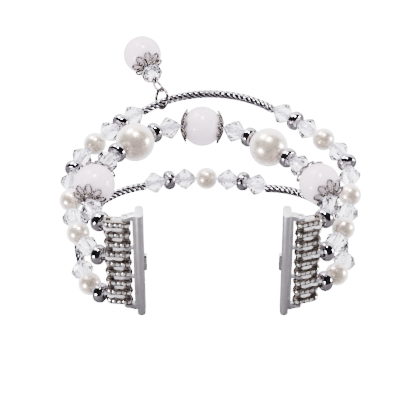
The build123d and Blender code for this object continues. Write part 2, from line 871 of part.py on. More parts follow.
# Charm: a jump ring round the middle tube, a pin with its eye in the ring, and its beads
charm_arc = list(strands["middle"]["arcs"].values())[0]
tube_point, tube_radial = arc_frame(
    charm_arc["centre"], charm_arc["radial"], charm_arc["axis"], charm_arc["sweep"] * charm_place_share
)
tube_tangent = charm_arc["axis"].cross(tube_radial).normalized()
ring_normal = ring_plane_normal.normalized()
ring_first = (ring_eye_direction - ring_normal * ring_eye_direction.dot(ring_normal)).normalized()
ring_offset = ring_radius - ring_wire / 2 - tube_diameter / 2 - ring_seat_gap
ring_centre = tube_point + ring_first * ring_offset
eye_point = ring_centre + ring_first * ring_radius
ring_tangent = ring_normal.cross(ring_first)
charm_axis = charm_direction.normalized()
eye_normal = (ring_tangent - charm_axis * ring_tangent.dot(charm_axis)).normalized()
eye_top = eye_point - charm_axis * (ring_wire / 2 + eye_wire / 2 + eye_seat_gap)
charm_frame = Plane(origin=eye_top, x_dir=charm_axis.cross(eye_normal), z_dir=charm_axis * -1)
crystal_at = eye_length + bead_gap + crystal_length / 2
ball_at = crystal_at + crystal_length / 2 + bead_gap + cap_metal + cap_seat
pin_length = ball_at + jade_radius + seat_gap + pin_head_length
charm_place = charm_frame.location
add("jump_ring", make_jump_ring(ring_centre, ring_normal, ring_first))
add("charm_pin", make_pin(pin_length).moved(charm_place))
add("charm_crystal", (Pos(0, 0, -crystal_at) * crystal).moved(charm_place))
add("charm_cap", (Pos(0, 0, -ball_at) * cap).moved(charm_place))
add("charm_ball", (Pos(0, 0, -ball_at) * jade).moved(charm_place))

# The whole band is moved so that it stands on the origin, centred over it.
whole = Compound(children=[solid.moved(Location()) for solids in nodes.values() for solid in solids])
box = whole.bounding_box()
base = Vector((box.min.X + box.max.X) / 2, (box.min.Y + box.max.Y) / 2, box.min.Z)
shift = Location(base * -1)
os.makedirs("parts", exist_ok=True)
for name, solids in nodes.items():
    moved = [solid.moved(shift) for solid in solids]
    shape = moved[0] if len(moved) == 1 else Compound(children=moved)
    export_step(shape, "parts/" + name + ".step")
print(len(nodes), "nodes, size", box.size, "base", base)
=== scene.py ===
import json
import math

import bmesh
import bpy
import numpy as np
from mathutils import Matrix, Vector


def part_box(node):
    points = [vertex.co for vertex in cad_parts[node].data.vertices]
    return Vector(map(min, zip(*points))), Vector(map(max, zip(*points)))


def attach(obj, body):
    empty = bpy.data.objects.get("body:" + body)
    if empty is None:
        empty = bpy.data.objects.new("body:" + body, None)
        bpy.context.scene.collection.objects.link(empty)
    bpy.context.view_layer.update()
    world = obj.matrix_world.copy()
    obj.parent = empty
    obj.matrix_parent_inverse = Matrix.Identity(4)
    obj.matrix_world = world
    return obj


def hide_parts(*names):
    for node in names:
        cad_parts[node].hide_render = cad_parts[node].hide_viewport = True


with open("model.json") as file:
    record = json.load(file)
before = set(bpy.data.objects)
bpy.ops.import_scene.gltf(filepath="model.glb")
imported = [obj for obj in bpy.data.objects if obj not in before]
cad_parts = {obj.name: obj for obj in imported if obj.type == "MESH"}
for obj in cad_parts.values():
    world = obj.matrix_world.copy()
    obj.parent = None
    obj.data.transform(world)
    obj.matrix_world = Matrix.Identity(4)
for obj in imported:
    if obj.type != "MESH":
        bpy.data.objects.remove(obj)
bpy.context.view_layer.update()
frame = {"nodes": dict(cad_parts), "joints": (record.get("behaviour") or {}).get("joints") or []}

mm = 0.001
joints = {joint["name"]: joint for joint in frame["joints"]}
scene = bpy.context.scene
up = Vector((0, 0, 1))
print("frame loaded:", len(frame["nodes"]), "nodes")


# Reading the frame

weldGaps = {"cad": 2e-6, "plate": 1e-6, "point": 1e-7}  # metres: points nearer than this become one


def mergedMesh(node):
    # a welded copy of a CAD node, as a bmesh
    work = bmesh.new()
    work.from_mesh(frame["nodes"][node].data)
    bmesh.ops.remove_doubles(work, verts=work.verts, dist=weldGaps["cad"])
    return work


def islandsOf(node):
    # the points of each separate solid in a node
    work = mergedMesh(node)
    work.verts.ensure_lookup_table()
    seen = set()
    islands = []
    for vert in work.verts:
        if vert.index in seen:
            continue
        seen.add(vert.index)
        stack = [vert]
        found = []
        while stack:
            here = stack.pop()
            found.append(here.co[:])
            for edge in here.link_edges:
                other = edge.other_vert(here)
                if other.index not in seen:
                    seen.add(other.index)
                    stack.append(other)
        islands.append(np.array(found))
    work.free()
    return islands


def mainAxes(points):
    # the middle of some points, their main directions and the spread along each, least first
    centre = points.mean(0)
    spread, vectors = np.linalg.eigh(np.cov((points - centre).T))
    return centre, vectors, spread


def spinPlace(points):
    # the middle and turning axis of a bead, from its points
    centre, vectors, spread = mainAxes(points)
    axis = vectors[:, 2] if spread[1] - spread[0] < spread[2] - spread[1] else vectors[:, 0]
    return Vector(centre), Vector(axis)


def jointPlace(name):
    joint = joints[name]
    return Vector(joint["pos_m"]), Vector(joint["axis"])


def sideOf(axis):
    # any steady direction square to an axis
    helper = up if abs(axis.z) < 0.8 else Vector((1, 0, 0))
    return (helper - axis * helper.dot(axis)).normalized()


def seat(centre, axis):
    # where a bead sits: its middle, its axis and the side it faces
    return centre, axis, sideOf(axis)


# Mesh helpers

sharpAngles = {"wire": 60, "link": 40, "tube": 70, "metal": 50}  # degrees


def setUp(thing, **settings):
    for name, value in settings.items():
        setattr(thing, name, value)
    return thing


def makeMesh(name, verts, faces, edges=()):
    mesh = bpy.data.meshes.new(name)
    mesh.from_pydata([tuple(v) for v in verts], list(edges), faces)
    mesh.update()
    return mesh


def makeObject(name, data):
    piece = bpy.data.objects.new(name, data)
    scene.collection.objects.link(piece)
    return piece


def cleanMesh(mesh, weld=0.0):
    # turns every face outward, after a weld where one is asked for
    work = bmesh.new()
    work.from_mesh(mesh)
    if weld:
        bmesh.ops.remove_doubles(work, verts=work.verts, dist=weld)
    bmesh.ops.recalc_face_normals(work, faces=work.faces)
    work.to_mesh(mesh)
    work.free()
    return mesh


def joinMeshes(name, meshes):
    work = bmesh.new()
    for mesh in meshes:
        work.from_mesh(mesh)
    whole = bpy.data.meshes.new(name)
    work.to_mesh(whole)
    work.free()
    return whole


def plainMesh(host):
    # an object's evaluated shape as a plain mesh; its modifiers and the object are removed
    bpy.context.view_layer.update()
    graph = bpy.context.evaluated_depsgraph_get()
    mesh = bpy.data.meshes.new_from_object(host.evaluated_get(graph))
    host.modifiers.clear()
    bpy.data.objects.remove(host)
    return mesh


def hideFlatEdges(mesh, kind):
    # smooth shading that keeps the edges sharper than the angle of this kind of piece
    mesh.shade_smooth()
    mesh.set_sharp_from_angle(angle=math.radians(sharpAngles[kind]))
    return mesh


def latheMesh(name, profile, sides):
    # a closed profile of (radius, height) turned about Z
    count = len(profile)
    verts = []
    faces = []
    for k in range(sides):
        angle = 2 * math.pi * k / sides
        verts += [(r * math.cos(angle), r * math.sin(angle), height) for r, height in profile]
        here, there = k * count, (k + 1) % sides * count
        for j in range(count):
            n = (j + 1) % count
            faces.append((here + j, there + j, there + n, here + n))
    mesh = cleanMesh(makeMesh(name, verts, faces), weldGaps["point"])
    mesh.shade_smooth()
    return mesh


def ringVerts(levels, sides):
    # the corners of a faceted body: radius, height and turn, in facets, of each level
    verts = []
    for radius, height, turn in levels:
        for k in range(sides):
            angle = 2 * math.pi * (k + turn) / sides
            verts.append((radius * math.cos(angle), radius * math.sin(angle), height))
    return verts


def addSpline(curve, kind, places):
    spline = curve.splines.new(kind)
    spline.points.add(len(places) - 1)
    for point, place in zip(spline.points, places):
        point.co = (*place, 1)
    return spline


def curveMesh(curve):
    mesh = plainMesh(makeObject(curve.name, curve))
    bpy.data.curves.remove(curve)
    return mesh


def plateMesh(name, loops, thickness, bevel):
    # a flat plate with holes and rounded edges, centred on Z
    curve = setUp(
        bpy.data.curves.new(name, "CURVE"), dimensions="2D", fill_mode="BOTH",
        extrude=thickness / 2 - bevel, bevel_depth=bevel, bevel_resolution=2, offset=-bevel,
    )
    for loop in loops:
        addSpline(curve, "POLY", [(x, y, 0) for x, y in loop]).use_cyclic_u = True
    return cleanMesh(curveMesh(curve), weldGaps["plate"])


def stadium(length, width, steps):
    # an outline with round ends
    radius = width / 2
    reach = length / 2 - radius
    loop = []
    for sign in (1, -1):
        for k in range(steps + 1):
            angle = math.pi * (k / steps - 0.5)
            across = reach + radius * math.cos(angle)
            loop.append((sign * across, sign * radius * math.sin(angle)))
    return loop


def circle(radius, steps, x):
    return [(x + place[0], place[1]) for place in ringVerts([(radius, 0, 0)], steps)]


def wireMesh(name, points, radius, steps, sides):
    # a round wire along a smooth curve
    curve = setUp(
        bpy.data.curves.new(name, "CURVE"), dimensions="3D", bevel_depth=radius,
        bevel_resolution=sides, use_fill_caps=True, resolution_u=steps,
    )
    setUp(addSpline(curve, "NURBS", points), order_u=3, use_endpoint_u=True)
    return hideFlatEdges(curveMesh(curve), "wire")


# Nodes

def fillInputs(tree, node, inputs):
    # sets a node's inputs by name or number, or links them where a socket is given
    for label, value in inputs.items():
        if isinstance(value, bpy.types.NodeSocket):
            tree.links.new(value, node.inputs[label])
        else:
            node.inputs[label].default_value = value


def addNode(tree, kind, inputs=None, **settings):
    node = setUp(tree.nodes.new(kind), **settings)
    fillInputs(tree, node, inputs or {})
    return node


def addStep(tree, kind, inputs=None, output=0, **settings):
    # a new node's output, by name or number
    return addNode(tree, kind, inputs, **settings).outputs[output]


def addMath(tree, operation, *values):
    return addStep(tree, "ShaderNodeMath", dict(enumerate(values)), operation=operation)


def addRange(tree, value, inputs, **settings):
    return addStep(tree, "ShaderNodeMapRange", {"Value": value, **inputs}, "Result", **settings)


def mixColour(tree, factor, first, second):
    return addStep(tree, "ShaderNodeMix", {"Factor": factor, "A": first, "B": second}, "Result",
                   data_type="RGBA")


def newGroup(name, kind, inputs, outputs):
    # a node group, the values given to it and its output node
    group = bpy.data.node_groups.new(name, kind)
    for way, sockets in (("INPUT", inputs), ("OUTPUT", outputs)):
        for label, socketKind, *value in sockets:
            socket = group.interface.new_socket(
                label, in_out=way, socket_type="NodeSocket" + socketKind)
            if value:
                socket.default_value = value[0]
    start = group.nodes.new("NodeGroupInput")
    return group, start.outputs, group.nodes.new("NodeGroupOutput")


# Geometry Nodes

def newTree(name, inputs):
    geometry = ("Geometry", "Geometry")
    inputs = (geometry, *inputs, ("Material", "Material"))
    return newGroup(name, "GeometryNodeTree", inputs, (geometry,))


def finishTree(tree, geometry, given, end):
    # every tree ends in Realize Instances and Set Material
    realized = addStep(tree, "GeometryNodeRealizeInstances", {0: geometry})
    dressed = addStep(tree, "GeometryNodeSetMaterial", {
        "Geometry": realized, "Material": given["Material"],
    })
    fillInputs(tree, end, {0: dressed})
    return tree


def buildBeadTree():
    # one bead shape on every point, turned to the point's axis and spun by a seeded amount
    tree, given, end = newTree("beadRow", (
        ("Bead", "Object"), ("Size", "Float"), ("Spin", "Float"), ("Seed", "Int"),
    ))
    facing = {}
    for attribute, axis, pivot in (("beadAxis", "Z", "AUTO"), ("beadSide", "X", "Z")):
        vector = addStep(tree, "GeometryNodeInputNamedAttribute", {"Name": attribute},
                         "Attribute", data_type="FLOAT_VECTOR")
        facing = {"Rotation": addStep(tree, "FunctionNodeAlignRotationToVector", {
            "Vector": vector, **facing,
        }, axis=axis, pivot_axis=pivot)}
    amount = addStep(tree, "FunctionNodeRandomValue", {
        3: given["Spin"], "Seed": given["Seed"],  # 3 is the greatest number
    }, output=1, data_type="FLOAT")
    spin = addStep(tree, "FunctionNodeAxisAngleToRotation", {"Angle": amount})
    turned = addStep(tree, "FunctionNodeRotateRotation", {**facing, "Rotate By": spin},
                     rotation_space="LOCAL")
    points = addStep(tree, "GeometryNodeMeshToPoints", {"Mesh": given["Geometry"]})
    bead = addStep(tree, "GeometryNodeObjectInfo", {"Object": given["Bead"], "As Instance": True},
                   "Geometry")
    beads = addStep(tree, "GeometryNodeInstanceOnPoints", {
        "Points": points, "Instance": bead, "Rotation": turned, "Scale": given["Size"],
    })
    return finishTree(tree, beads, given, end)


def buildGrainTree():
    # beaded wire: a thin core with grains along it
    tree, given, end = newTree("beadedWire", (
        ("Wire", "Float"), ("Grain", "Float"), ("Count", "Int"),
    ))
    curve = addStep(tree, "GeometryNodeMeshToCurve", {0: given["Geometry"]})
    even = addStep(tree, "GeometryNodeResampleCurve", {"Curve": curve, "Count": given["Count"]})
    section = addStep(tree, "GeometryNodeCurvePrimitiveCircle", {
        "Resolution": 6, "Radius": given["Wire"],
    })
    core = addStep(tree, "GeometryNodeCurveToMesh", {"Curve": even, "Profile Curve": section})
    grain = addStep(tree, "GeometryNodeMeshIcoSphere", {
        "Subdivisions": 2, "Radius": given["Grain"],
    })
    grains = addStep(tree, "GeometryNodeInstanceOnPoints", {"Points": even, "Instance": grain})
    join = addNode(tree, "GeometryNodeJoinGeometry", {0: core})
    tree.links.new(grains, join.inputs[0])
    return finishTree(tree, join.outputs[0], given, end)


# darkFrom and darkTo set where the painted shade in the tubes' grooves begins and becomes full
fluteForm = {"power": 0.6, "darkFrom": 0.1, "darkTo": 0.38}  # shares of a groove's depth


def buildTubeTree():
    # a fluted section swept along a path while it twists
    tree, given, end = newTree("twistedTube", (
        ("Radius", "Float"), ("Groove Share", "Float"), ("Lobes", "Float"), ("Twist", "Float"),
        ("Around", "Int"),
    ))
    curve = addStep(tree, "GeometryNodeMeshToCurve", {0: given["Geometry"]})
    along = addStep(tree, "GeometryNodeSplineParameter", output="Factor")
    path = addStep(tree, "GeometryNodeSetCurveTilt", {
        "Curve": curve, "Tilt": addMath(tree, "MULTIPLY", along, given["Twist"]),
    })
    index = addStep(tree, "GeometryNodeInputIndex")
    angle = addMath(tree, "MULTIPLY", addMath(tree, "DIVIDE", index, given["Around"]), math.pi)
    wave = addMath(tree, "COSINE", addMath(tree, "MULTIPLY", angle, given["Lobes"]))
    ridge = addMath(tree, "POWER", addMath(tree, "ABSOLUTE", wave), fluteForm["power"])
    depth = addMath(tree, "SUBTRACT", 1.0, ridge)
    hollow = addMath(tree, "MULTIPLY", depth, given["Groove Share"])
    section = addStep(tree, "GeometryNodeCurvePrimitiveCircle", {
        "Resolution": given["Around"], "Radius": given["Radius"],
    })
    # the groove attribute is the mask for the painted shade in the tubes' grooves
    section = addStep(tree, "GeometryNodeStoreNamedAttribute", {
        "Geometry": section, "Name": "groove", "Value": addRange(tree, depth, {
            "From Min": fluteForm["darkFrom"], "From Max": fluteForm["darkTo"],
        }),
    }, data_type="FLOAT", domain="POINT")
    place = addStep(tree, "ShaderNodeVectorMath", {
        0: addStep(tree, "GeometryNodeInputPosition"),
        "Scale": addMath(tree, "SUBTRACT", 1.0, hollow),
    }, operation="SCALE")
    section = addStep(tree, "GeometryNodeSetPosition", {"Geometry": section, "Position": place})
    tube = addStep(tree, "GeometryNodeCurveToMesh", {
        "Curve": path, "Profile Curve": section, "Fill Caps": True,
    })
    return finishTree(tree, tube, given, end)


def runTree(name, host, tree, material, values):
    # runs a tree on a host object and keeps the result as a plain mesh
    values["Material"] = materials[material]
    modifier = host.modifiers.new("build", "NODES")
    modifier.node_group = tree
    for item in tree.interface.items_tree:
        if item.item_type == "SOCKET" and item.in_out == "INPUT" and item.name in values:
            modifier[item.identifier] = values[item.name]
    mesh = plainMesh(host)
    mesh.name = name
    return mesh


def pointHost(places):
    # a mesh of loose points that carry their axis and side as attributes
    host = makeObject("pointHost", makeMesh("pointHost", [place[0] for place in places], []))
    for label, column in (("beadAxis", 1), ("beadSide", 2)):
        attribute = host.data.attributes.new(label, "FLOAT_VECTOR", "POINT")
        vectors = np.array([place[column][:] for place in places])
        attribute.data.foreach_set("vector", vectors.ravel())
    return host


beadTree = buildBeadTree()
grainTree = buildGrainTree()
tubeTree = buildTubeTree()


def finishPiece(name, mesh, body, nodes=()):
    # the piece rides its body and stands in for its CAD nodes
    piece = makeObject(name, mesh)
    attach(piece, body)
    if nodes:
        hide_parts(*nodes)


def beadPiece(name, shape, places, material, body, nodes=(), spin=0.0, seed=1):
    # one piece that holds a bead shape at each place
    source = makeObject(name + "Shape", shape)
    mesh = runTree(name, pointHost(places), beadTree, material, {
        "Bead": source, "Size": 1.0, "Spin": spin, "Seed": seed,
    })
    bpy.data.objects.remove(source)
    finishPiece(name, mesh, body, nodes)


def paint(mesh, material):
    mesh.materials.clear()
    mesh.materials.append(materials[material])
    return mesh


# Shader node groups

def buildHandlingGroup():
    # fine marks and uneven polish: a roughness value and a normal
    group, given, end = newGroup("handlingMarks", "ShaderNodeTree", (
        ("Scale", "Float", 900.0), ("Polish", "Float", 0.1), ("Unevenness", "Float", 0.1),
        ("Height", "Float", 0.05),
    ), (("Roughness", "Float"), ("Normal", "Vector")))
    where = addStep(group, "ShaderNodeTexCoord", output="Object")
    broad = addStep(group, "ShaderNodeTexNoise", {
        "Vector": where, "Scale": given["Scale"], "Detail": 3.0,
    }, "Fac")
    fine = addStep(group, "ShaderNodeTexNoise", {
        "Vector": where, "Scale": addMath(group, "MULTIPLY", given["Scale"], 4.0),
        "Detail": 6.0, "Roughness": 0.7,
    }, "Fac")
    roughness = addRange(group, broad, {
        "From Min": 0.35, "From Max": 0.65, "To Min": given["Polish"],
        "To Max": addMath(group, "ADD", given["Polish"], given["Unevenness"]),
    })
    normal = addStep(group, "ShaderNodeBump", {
        "Height": fine, "Strength": given["Height"], "Distance": 0.02 * mm,
    }, "Normal")
    fillInputs(group, end, {"Roughness": roughness, "Normal": normal})
    return group


def buildCloudGroup():
    # soft drifts between two colours, and the mask that mixes them
    white = (1, 1, 1, 1)
    group, given, end = newGroup("colourDrift", "ShaderNodeTree", (
        ("First", "Color", white), ("Second", "Color", white), ("Scale", "Float", 200.0),
        ("Sharpness", "Float", 0.2),
    ), (("Color", "Color"), ("Mask", "Float")))
    noise = addStep(group, "ShaderNodeTexNoise", {
        "Vector": addStep(group, "ShaderNodeTexCoord", output="Object"),
        "Scale": given["Scale"], "Detail": 2.0,
    }, "Fac")
    mask = addRange(group, noise, {
        "From Min": addMath(group, "SUBTRACT", 0.5, given["Sharpness"]),
        "From Max": addMath(group, "ADD", 0.5, given["Sharpness"]),
    })
    colour = mixColour(group, mask, given["First"], given["Second"])
    fillInputs(group, end, {"Color": colour, "Mask": mask})
    return group


handlingGroup = buildHandlingGroup()
cloudGroup = buildCloudGroup()


# Materials: "drift" is the scale and sharpness of the change between a look's two colours,
# "marks" the scale, polish, unevenness and height of its handling marks

def newMaterial(name):
    material = bpy.data.materials.new(name)
    material.use_nodes = True
    return material, material.node_tree, material.node_tree.nodes["Principled BSDF"]


def addDrift(tree, first, second, scale, sharpness):
    return addNode(tree, "ShaderNodeGroup", {
        "First": (*first, 1), "Second": (*second, 1), "Scale": scale, "Sharpness": sharpness,
    }, node_tree=cloudGroup).outputs


def addMarks(tree, scale, polish, unevenness, height):
    return addNode(tree, "ShaderNodeGroup", {
        "Scale": scale, "Polish": polish, "Unevenness": unevenness, "Height": height,
    }, node_tree=handlingGroup).outputs


def addSurface(name, look, finish=None):
    # drifting colour and marks, the look's own shader values, then what its finish adds
    material, tree, shader = newMaterial(name)
    colour = addDrift(tree, *look["colours"], *look["drift"])["Color"]
    marks = addMarks(tree, *look["marks"])
    inputs = {"Base Color": colour, "Roughness": marks["Roughness"], **look.get("shader", {})}
    if look.get("bumps", True):
        inputs["Normal"] = marks["Normal"]
    if finish:
        inputs.update(finish(tree, look, colour))
    fillInputs(tree, shader, inputs)
    return material


def metalFinish(tree, look, colour):
    # where a mesh's groove attribute is one: painted shade, near black, in the tubes' grooves;
    # painted light, pale and dull, on the links' slot walls
    if "groove" not in look:
        return {"Metallic": 1.0}
    depth = addStep(tree, "ShaderNodeAttribute", output="Fac", attribute_name="groove")
    metallic = 1.0
    if "slotLightMetallic" in look:
        metallic = addRange(tree, depth, {"To Min": 1.0, "To Max": look["slotLightMetallic"]})
    colour = mixColour(tree, depth, colour, (*look["groove"], 1))
    return {"Base Color": colour, "Metallic": metallic}


metalLooks = {
    "rondelleSilver": {
        "colours": ((0.56, 0.525, 0.58), (0.36, 0.33, 0.36)), "drift": (420.0, 0.25),
        "marks": (600.0, 0.04, 0.06, 0.6),
    },
    "tubeSilver": {
        "colours": ((0.72, 0.69, 0.74), (0.38, 0.36, 0.39)), "drift": (800.0, 0.15),
        # the groove colour is painted shade: near black in the tubes' grooves
        "marks": (900.0, 0.05, 0.06, 0.1), "groove": (0.012, 0.01, 0.01),
    },
    "wireSilver": {
        "colours": ((0.27, 0.245, 0.24), (0.15, 0.13, 0.125)), "drift": (400.0, 0.2),
        "marks": (900.0, 0.1, 0.1, 0.1),
    },
    "antiqueSilver": {
        "colours": ((0.4, 0.35, 0.33), (0.12, 0.095, 0.085)), "drift": (900.0, 0.14),
        "marks": (1100.0, 0.22, 0.2, 0.35),
    },
    "linkSilver": {
        "colours": ((0.25, 0.21, 0.195), (0.09, 0.07, 0.062)), "drift": (900.0, 0.14),
        # the slot-wall colour is painted light: near white and dull, standing in for the bright
        # background seen through the slots
        "marks": (1100.0, 0.24, 0.2, 0.35), "groove": (0.95, 0.94, 0.97), "slotLightMetallic": 0.1,
    },
    "capSilver": {
        "colours": ((0.27, 0.24, 0.23), (0.09, 0.075, 0.07)), "drift": (1100.0, 0.16),
        "marks": (1500.0, 0.12, 0.16, 0.3),
    },
    "spacerMetal": {
        "colours": ((0.1, 0.08, 0.075), (0.22, 0.19, 0.18)), "drift": (1100.0, 0.15),
        "marks": (1300.0, 0.2, 0.2, 0.25),
    },
    "adapterMetal": {
        "colours": ((0.66, 0.64, 0.68), (0.58, 0.56, 0.6)), "drift": (90.0, 0.4),
        "marks": (300.0, 0.3, 0.06, 0.02),
    },
    "rodSteel": {
        "colours": ((0.5, 0.49, 0.51), (0.38, 0.37, 0.38)), "drift": (600.0, 0.2),
        "marks": (1000.0, 0.18, 0.15, 0.15),
    },
}
crystalLook = {
    "colours": ((0.965, 0.94, 1.0), (0.91, 0.865, 1.0)), "drift": (240.0, 0.2),
    "marks": (500.0, 0.01, 0.02, 0.01), "bumps": False,
    # painted flashes: blue and gold patches in the glass colour, standing in for the glass's fire
    "flashes": ((0.62, 0.72, 1.0), (1.0, 0.84, 0.6)), "flashDrift": (420.0, 0.08),
    "rareDrift": (330.0, 0.3), "rareFrom": 0.66, "rareTo": 0.82, "rareShare": 0.7,
    "shader": {
        "Transmission Weight": 1.0, "IOR": 1.54, "Coat Weight": 0.4, "Coat Roughness": 0.02,
    },
}
pearlLook = {
    "colours": ((0.8, 0.655, 0.54), (0.67, 0.53, 0.43)), "drift": (190.0, 0.35),
    # the pale rim colour and its facing mask are a painted sheen, in place of the reflection of the
    # bright surroundings
    "marks": (800.0, 0.24, 0.08, 0.06), "rim": (0.95, 0.89, 0.96), "rimBlend": 0.42,
    "rimFrom": 0.12, "rimTo": 0.75, "metallic": 0.84, "rimMetallic": 0.05,
    "shader": {
        "Coat Weight": 0.9, "Coat Roughness": 0.04, "Subsurface Weight": 0.15,
        "Subsurface Scale": 0.8 * mm,
    },
}
jadeLook = {
    "colours": ((0.62, 0.505, 0.58), (0.57, 0.475, 0.56)), "drift": (150.0, 0.3),
    "marks": (420.0, 0.17, 0.1, 0.05),
    "shader": {
        "Subsurface Weight": 0.85, "Subsurface Radius": (1.0, 0.95, 1.0),
        "Subsurface Scale": 2.5 * mm, "Coat Weight": 0.25, "Coat Roughness": 0.08,
    },
}
foilLook = {
    "colours": ((1.0, 0.99, 1.0), (0.34, 0.31, 0.31)), "drift": (1300.0, 0.12),
    "marks": (900.0, 0.03, 0.05, 0.02), "bumps": False,
    "shader": {"Metallic": 0.85, "Coat Weight": 1.0, "Coat Roughness": 0.02},
}
elasticLook = {
    "colours": ((0.93, 0.92, 0.94), (0.84, 0.83, 0.86)), "drift": (500.0, 0.3),
    "marks": (1500.0, 0.25, 0.15, 0.2), "shader": {"Transmission Weight": 0.5, "IOR": 1.45},
}


def crystalFinish(tree, look, colour):
    # clear cut glass, faintly violet, with rare blue and gold flashes painted into its colour in
    # place of the glass's fire
    paintedFlash = addDrift(tree, *look["flashes"], *look["flashDrift"])["Color"]
    white = (1, 1, 1)
    rare = addRange(tree, addDrift(tree, white, white, *look["rareDrift"])["Mask"], {
        "From Min": look["rareFrom"], "From Max": look["rareTo"], "To Max": look["rareShare"],
    })
    return {"Base Color": mixColour(tree, rare, colour, paintedFlash)}


def pearlFinish(tree, look, colour):
    # nacre under a clear coat; a painted sheen, by facing angle, makes the rim paler, cooler and
    # less metallic
    edge = addStep(tree, "ShaderNodeLayerWeight", {"Blend": look["rimBlend"]}, "Facing")
    rim = addRange(tree, edge, {"From Min": look["rimFrom"], "From Max": look["rimTo"]},
                   interpolation_type="SMOOTHSTEP")
    metallic = addRange(tree, rim, {"To Min": look["metallic"], "To Max": look["rimMetallic"]})
    return {
        "Base Color": mixColour(tree, rim, colour, (*look["rim"], 1)), "Metallic": metallic,
    }


materials = {name: addSurface(name, look, metalFinish) for name, look in metalLooks.items()}
for name, look, finish in (
    ("cutCrystal", crystalLook, crystalFinish), ("pearlNacre", pearlLook, pearlFinish),
    ("milkyStone", jadeLook, None), ("foilStone", foilLook, None),
    ("clearElastic", elasticLook, None),
):
    materials[name] = addSurface(name, look, finish)
print("materials ready")


# Beads on the strands

boreForm = {"radius": 0.65 * mm, "lip": 0.12 * mm, "lipDepth": 0.18 * mm}
bore = boreForm["radius"]
crystalCut = {
    "radius": 3.0 * mm, "halfLength": 2.7 * mm, "end": 1.0 * mm, "breakRadius": 2.42 * mm,
    "breakHeight": 0.86 * mm, "facets": 8,
}
rondelleTurn = {
    "radius": 2.6 * mm, "halfLength": 1.35 * mm, "flat": 1.3 * mm, "roundness": 0.62,
    "lipStart": 0.8, "lipEnd": 0.96, "steps": 14, "sides": 44,
}
ballForms = {
    "smallPearl": {"radius": 2.9 * mm, "sides": 48, "rings": 24},
    "bigPearl": {"radius": 4.9 * mm, "sides": 64, "rings": 32},
    "milkyBall": {"radius": 5.1 * mm, "sides": 64, "rings": 32},
}


def crystalShape():
    # a bicone: long facets from the ends, short ones at the girdle, and a drilled hole
    c = crystalCut
    count = c["facets"]
    verts = ringVerts((
        (bore, -c["halfLength"], 0.0), (c["end"], -c["halfLength"], 0.0),
        (c["breakRadius"], -c["breakHeight"], 0.5), (c["radius"], 0.0, 0.0),
        (c["breakRadius"], c["breakHeight"], 0.5), (c["end"], c["halfLength"], 0.0),
        (bore, c["halfLength"], 0.0),
    ), count)
    faces = []
    for k in range(count):
        lefts = [level * count + k for level in range(7)]
        rights = [level * count + (k + 1) % count for level in range(7)]
        for low, high in ((0, 1), (5, 6), (6, 0)):
            faces.append((lefts[low], rights[low], rights[high], lefts[high]))
        for low, high in ((1, 2), (3, 4)):
            faces.append((lefts[low], rights[low], lefts[high]))
            faces.append((lefts[high], rights[low], rights[high]))
        for low, high in ((2, 3), (4, 5)):
            faces.append((lefts[low], rights[high], lefts[high]))
            faces.append((lefts[low], rights[low], rights[high]))
    mesh = cleanMesh(makeMesh("crystalShape", verts, faces))
    mesh.shade_flat()
    return mesh


def rondelleShape():
    r = rondelleTurn
    half = r["halfLength"]
    lip = [(bore, r["lipStart"] * half), (bore + boreForm["lip"], r["lipEnd"] * half)]
    profile = [(radius, -height) for radius, height in lip]
    for k in range(r["steps"] + 1):
        angle = math.pi * k / r["steps"]
        bulge = (r["radius"] - r["flat"]) * math.sin(angle) ** r["roundness"]
        profile.append((r["flat"] + bulge, -half * math.cos(angle)))
    return latheMesh("rondelleShape", profile + lip[::-1], r["sides"])


def ballShape(name):
    # a drilled ball with a softened edge at each end of its hole
    radius, sides, rings = ballForms[name].values()
    first = math.asin((bore + boreForm["lip"]) / radius)
    lip = radius * math.cos(first) - boreForm["lipDepth"]
    profile = [(bore, -lip)]
    for k in range(rings + 1):
        angle = first + (math.pi - 2 * first) * k / rings
        profile.append((radius * math.sin(angle), -radius * math.cos(angle)))
    return latheMesh(name + "Shape", profile + [(bore, lip)], sides)


crystal = crystalShape()
rondelle = rondelleShape()
balls = {name: ballShape(name) for name in ballForms}
for strand in ("top", "middle", "bottom"):
    node = "crystals_" + strand
    places = [seat(*spinPlace(points)) for points in islandsOf(node)]
    beadPiece("crystalBeads_" + strand, crystal, places, "cutCrystal", "strands",
              [node], spin=math.pi / 4, seed=3)
    node = "rondelles_" + strand
    places = [seat(*spinPlace(points)) for points in islandsOf(node)]
    beadPiece("silverRondelles_" + strand, rondelle, places, "rondelleSilver", "strands",
              [node])
for name in sorted(frame["nodes"]):
    if name.startswith(("pearl_", "big_pearl_")):
        shape = balls["bigPearl" if name.startswith("big") else "smallPearl"]
        beadPiece("nacre_" + name, shape, [seat(*jointPlace(name + "_spin"))], "pearlNacre", name,
                  [name])
print("strand beads ready")


# Flower caps and milky balls

capWork = {
    "ball": ballForms["milkyBall"]["radius"], "petals": 8, "near": 13.0, "far": 45.0,
    "width": 2.5 * mm, "belly": 0.82, "taper": 0.3, "steps": 28, "wire": 0.26 * mm,
    "grain": 0.34 * mm, "grains": 13, "hub": 1.55 * mm, "hubThickness": 0.34 * mm,
    "hubRim": 0.08 * mm, "hubLip": 0.2 * mm, "hubLipDepth": 0.05 * mm, "seat": 0.04 * mm,
    "flare": 0.25 * mm,
}


def petalLoop(turn):
    # points of one petal, laid on the ball
    c = capWork
    radius = c["ball"] + c["grain"] + c["seat"]
    middle = math.radians((c["near"] + c["far"]) / 2)
    reach = math.radians((c["far"] - c["near"]) / 2)
    half = (c["width"] / 2 - c["grain"]) / radius
    points = []
    for k in range(c["steps"]):
        t = 2 * math.pi * k / c["steps"]
        down = middle - reach * math.cos(t)
        across = math.sin(t) * (c["belly"] - c["taper"] * math.cos(t)) * half
        direction = Vector((math.sin(down), across, math.cos(down))).normalized()
        lift = c["flare"] * (0.5 - 0.5 * math.cos(t)) ** 2
        points.append(Matrix.Rotation(turn, 3, "Z") @ (direction * (radius + lift)))
    return points


